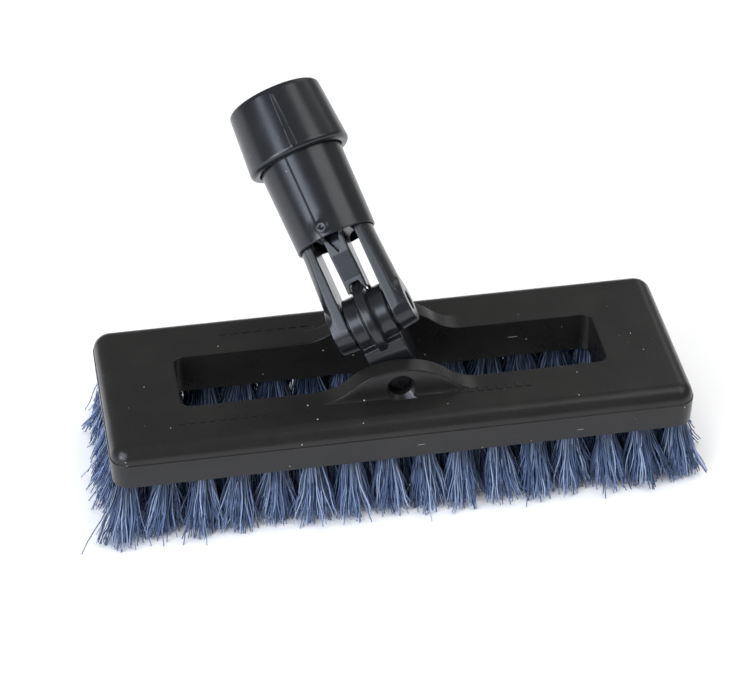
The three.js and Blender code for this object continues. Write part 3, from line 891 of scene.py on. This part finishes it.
def tuft_tree():
    """Geometry nodes: a line of holes, with a bundle of bent bristles in each."""
    tree = bpy.data.node_groups.new("tuft_row", "GeometryNodeTree")
    tree.interface.new_socket("Geometry", in_out="OUTPUT", socket_type="NodeSocketGeometry")
    for label, kind in {
        "Tufts": "Int", "First Hole": "Vector", "Hole Step": "Vector", "Bristles": "Int",
        "Hole Radius": "Float", "Tip Spread": "Vector", "Splay": "Vector", "End Splay": "Vector",
        "Length": "Float", "Bristle Radius": "Float", "Seed": "Int", "Material": "Material",
    }.items():
        tree.interface.new_socket(label, in_out="INPUT", socket_type="NodeSocket" + kind)
    given = add(tree, "NodeGroupInput").outputs
    seeds = [number(tree, "ADD", given["Seed"], float(i)) for i in range(3, 8)]
    index = add(tree, "GeometryNodeInputIndex")
    holes = add(tree, "GeometryNodeMeshLine", {
        "Count": given["Tufts"], "Start Location": given["First Hole"], "Offset": given["Hole Step"],
    })

    # how far along the row each hole is, from -1 to 1, makes the end tufts lean outwards
    last = number(tree, "SUBTRACT", given["Tufts"], 1.0)
    half_row = number(tree, "MULTIPLY", last, 0.5)
    in_halves = number(tree, "DIVIDE", index, half_row)
    along_row = number(tree, "SUBTRACT", in_halves, 1.0)
    end_lean = scaled(tree, given["End Splay"], along_row)
    row_lean = vector(tree, "ADD", given["Splay"], end_lean)
    jitter = add(tree, "FunctionNodeRandomValue", {
        0: (-1, -1, 0), 1: (1, 1, 0), "Seed": given["Seed"],
    }, data_type="FLOAT_VECTOR")
    jitter = scaled(tree, jitter, TUFT_LEAN)
    lean = vector(tree, "ADD", row_lean, jitter)
    stored = add(tree, "GeometryNodeStoreNamedAttribute", {
        "Geometry": holes, "Name": "lean", "Value": lean,
    }, data_type="FLOAT_VECTOR")
    stored = add(tree, "GeometryNodeStoreNamedAttribute", {
        "Geometry": stored, "Name": "hole", "Value": index,
    }, data_type="INT")

    # the bristles' roots fill a disc in each hole
    copies = add(tree, "GeometryNodeDuplicateElements", {
        "Geometry": stored, "Amount": given["Bristles"],
    }, domain="POINT")
    copy_index = copies.outputs["Duplicate Index"]
    hole = add(tree, "GeometryNodeInputNamedAttribute", {"Name": "hole"}, data_type="INT")
    counted = number(tree, "ADD", copy_index, 0.5)
    share = number(tree, "DIVIDE", counted, given["Bristles"])
    reach = number(tree, "POWER", share, 0.5)
    own_turn = number(tree, "MULTIPLY", copy_index, GOLDEN_TURN)
    hole_turn = number(tree, "MULTIPLY", hole, HOLE_TURN)
    turn = number(tree, "ADD", own_turn, hole_turn)
    cosine = number(tree, "COSINE", turn)
    sine = number(tree, "SINE", turn)
    outwards = add(tree, "ShaderNodeCombineXYZ", (cosine, sine, 0.0))
    disc = scaled(tree, outwards, reach)
    in_hole = scaled(tree, disc, given["Hole Radius"])
    points = add(tree, "GeometryNodeSetPosition", {"Geometry": copies, "Offset": in_hole})
    position = add(tree, "GeometryNodeInputPosition")

    # bristles that start close together stray together, so they gather in locks
    locks = add(tree, "ShaderNodeTexNoise", {
        "Vector": position, "W": given["Seed"], "Scale": LOCK_SCALE, "Detail": 1.0,
    }, noise_dimensions="4D").outputs["Color"]
    locks = vector(tree, "SUBTRACT", locks, (0.5, 0.5, 0.5))
    stray = vector(tree, "MULTIPLY", locks, LOCK_STRAY)
    # each strays a little on its own too, and a few of them far
    wild = add(tree, "FunctionNodeRandomValue", {
        0: (-1, -1, 0), 1: (1, 1, 0), "Seed": seeds[0],
    }, data_type="FLOAT_VECTOR")
    rarity = add(tree, "FunctionNodeRandomValue", {"Seed": seeds[1]}, data_type="FLOAT").outputs[1]
    rarity = number(tree, "POWER", rarity, WILD_RARITY)
    far = number(tree, "MULTIPLY", rarity, WILD_STRAY)
    wildness = number(tree, "ADD", far, OWN_STRAY)
    wild = scaled(tree, wild, wildness)
    spread = vector(tree, "MULTIPLY", disc, given["Tip Spread"])
    lean = add(tree, "GeometryNodeInputNamedAttribute", {"Name": "lean"}, data_type="FLOAT_VECTOR")
    splayed = vector(tree, "ADD", lean, spread)
    strayed = vector(tree, "ADD", stray, wild)
    tip = vector(tree, "ADD", splayed, strayed)
    shade = add(tree, "FunctionNodeRandomValue", {"Seed": seeds[2]}, data_type="FLOAT")
    trim = add(tree, "FunctionNodeRandomValue", {
        2: SHORTEST, 3: 1.0, "Seed": seeds[3],
    }, data_type="FLOAT")
    phase = add(tree, "FunctionNodeRandomValue", {
        0: (0, 0, 0), 1: (6.28, 6.28, 0), "Seed": seeds[4],
    }, data_type="FLOAT_VECTOR")
    for name, kind, value in (
        ("root", "FLOAT_VECTOR", position), ("tip", "FLOAT_VECTOR", tip),
        ("shade", "FLOAT", shade.outputs[1]), ("trim", "FLOAT", trim.outputs[1]),
        ("phase", "FLOAT_VECTOR", phase),
    ):
        points = add(tree, "GeometryNodeStoreNamedAttribute", {
            "Geometry": points, "Name": name, "Value": value,
        }, data_type=kind)

    # each bristle: a line bent from its root to its tip, with a slight wave
    strand = add(tree, "GeometryNodeCurvePrimitiveLine", {"Start": (0, 0, 0), "End": (0, 0, -0.001)})
    strand = add(tree, "GeometryNodeResampleCurve", {"Curve": strand, "Count": BRISTLE_STEPS})
    strands = add(tree, "GeometryNodeInstanceOnPoints", {"Points": points, "Instance": strand})
    strands = add(tree, "GeometryNodeRealizeInstances", (strands,))
    root, tip, trim, phase = (
        add(tree, "GeometryNodeInputNamedAttribute", {"Name": name}, data_type=kind)
        for name, kind in (
            ("root", "FLOAT_VECTOR"), ("tip", "FLOAT_VECTOR"),
            ("trim", "FLOAT"), ("phase", "FLOAT_VECTOR"),
        )
    )
    along = add(tree, "GeometryNodeSplineParameter").outputs["Factor"]
    bend = number(tree, "POWER", along, BEND)
    trimmed = number(tree, "MULTIPLY", along, trim)
    down = number(tree, "MULTIPLY", trimmed, given["Length"])
    down = number(tree, "MULTIPLY", down, -1.0)
    drop = add(tree, "ShaderNodeCombineXYZ", (0.0, 0.0, down))
    turns = scaled(tree, WAVE_TURNS, along)
    wave = vector(tree, "ADD", phase, turns)
    wave = vector(tree, "SINE", wave)
    swing = number(tree, "MULTIPLY", along, WAVE_SWING)
    wave = scaled(tree, wave, swing)
    bent = scaled(tree, tip, bend)
    for part in (root, drop, wave):
        bent = vector(tree, "ADD", bent, part)
    shaped = add(tree, "GeometryNodeSetPosition", {"Geometry": strands, "Position": bent})
    shaped = add(tree, "GeometryNodeStoreNamedAttribute", {
        "Geometry": shaped, "Name": "along", "Value": along,
    }, data_type="FLOAT")
    ring = add(tree, "GeometryNodeCurvePrimitiveCircle", {
        "Resolution": 3, "Radius": given["Bristle Radius"],
    })
    taper = number(tree, "MULTIPLY", along, TIP_TAPER)
    taper = number(tree, "SUBTRACT", 1.0, taper)
    sized = add(tree, "GeometryNodeSetCurveRadius", {"Curve": shaped, "Radius": taper})
    solid = add(tree, "GeometryNodeCurveToMesh", {
        "Curve": sized, "Profile Curve": ring, "Fill Caps": True, "Scale": taper,
    })
    smooth = add(tree, "GeometryNodeSetShadeSmooth", {"Geometry": solid, "Shade Smooth": True})
    real = add(tree, "GeometryNodeRealizeInstances", (smooth,))
    painted = add(tree, "GeometryNodeSetMaterial", {"Geometry": real, "Material": given["Material"]})
    add(tree, "NodeGroupOutput", (painted,))
    return tree


# drawn polypropylene bristle: satin, each one its own shade of blue, with painted shade that
# darkens it near the holes, where little light gets in between the tufts
bristle_plastic, bristle_tree, bristle_shader = new_material("blue_polypropylene_bristle")
strand_shade = add(bristle_tree, "ShaderNodeAttribute", attribute_name="shade").outputs["Fac"]
strand_along = add(bristle_tree, "ShaderNodeAttribute", attribute_name="along").outputs["Fac"]
strand_colour = add(bristle_tree, "ShaderNodeValToRGB", {"Fac": strand_shade})
for stop, colour in zip(strand_colour.color_ramp.elements, ("#2f3f5c", "#a3b2cd")):
    stop.color = linear(colour)
middle_stop = strand_colour.color_ramp.elements.new(0.55)
middle_stop.color = linear("#586d93")
# painted shade: the bristle colour is multiplied down towards the roots, standing in for the shadow
# between the tufts
painted_root_shade = add(bristle_tree, "ShaderNodeMapRange", (strand_along, 0.0, 0.6, 0.22, 1.0))
strand_paint = add(bristle_tree, "ShaderNodeMix", {
    "Factor": 1.0, "A": strand_colour.outputs["Color"], "B": painted_root_shade,
}, data_type="RGBA", blend_type="MULTIPLY")
bristle_tree.links.new(strand_paint.outputs["Result"], bristle_shader.inputs["Base Color"])
bristle_shader.inputs["Roughness"].default_value = 0.45

ROW_Y, INNER_ROW_Y, HOLE_PITCH = 37, 25, 16
END_X, INNER_END_X, END_PITCH, INNER_END_PITCH = 120, 105, 14.4, 12.5
ROOT_DEPTH = 3  # how far a bundle starts inside the block
tufts = tuft_tree()
tuft_inputs = {
    item.name: item.identifier for item in tufts.interface.items_tree if item.in_out == "INPUT"
}


def tuft_row(name, node, count, middle, step, spread, splay, end_splay, seed, bristles=150, hole=3.5):
    """One row of tufts as a plain mesh. Sizes in millimetres."""
    start = Vector(middle) - Vector(step) * (count - 1) / 2
    start.z = UNDERSIDE + ROOT_DEPTH
    piece = bpy.data.objects.new(name, bpy.data.meshes.new(name))
    bpy.context.collection.objects.link(piece)
    modifier = piece.modifiers.new("tufts", "NODES")
    modifier.node_group = tufts
    values = {
        "Tufts": count, "First Hole": [c * MM for c in start], "Hole Step": [c * MM for c in step],
        "Bristles": bristles, "Hole Radius": hole * MM, "Tip Spread": [c * MM for c in spread],
        "Splay": [c * MM for c in splay], "End Splay": [c * MM for c in end_splay],
        "Length": (UNDERSIDE + ROOT_DEPTH) * MM, "Bristle Radius": BRISTLE_RADIUS * MM,
        "Seed": seed, "Material": bristle_plastic,
    }
    for label, value in values.items():
        modifier[tuft_inputs[label]] = value
    baked(piece)
    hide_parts(node)
    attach(piece, "block")
    return piece


for where, side in (("front", -1), ("rear", 1)):
    row_y = BLOCK_MIDDLE.y + side * ROW_Y
    tuft_row(f"{where}_outer_bristles", f"{where}_outer_tufts", 16, (0, row_y, 0), (HOLE_PITCH, 0, 0),
             (5, 3, 0), (0, side * 7, 0), (4, 0, 0), 11 + side)
    row_y = BLOCK_MIDDLE.y + side * INNER_ROW_Y
    tuft_row(f"{where}_inner_bristles", f"{where}_inner_tufts", 15, (0, row_y, 0), (HOLE_PITCH, 0, 0),
             (6.5, 6, 0), (0, side * 1, 0), (2, 0, 0), 21 + side, 240, 4.6)
for where, side in (("left", -1), ("right", 1)):
    tuft_row(f"{where}_outer_bristles", f"{where}_outer_tufts", 4, (side * END_X, BLOCK_MIDDLE.y, 0),
             (0, END_PITCH, 0), (3, 5, 0), (side * 6.5, 0, 0), (0, 2, 0), 31 + side)
    row_x = side * INNER_END_X
    tuft_row(f"{where}_inner_bristles", f"{where}_inner_tufts", 3, (row_x, BLOCK_MIDDLE.y, 0),
             (0, INNER_END_PITCH, 0), (4, 5, 0), (0, 0, 0), (0, 1, 0), 41 + side, 200, 4.6)
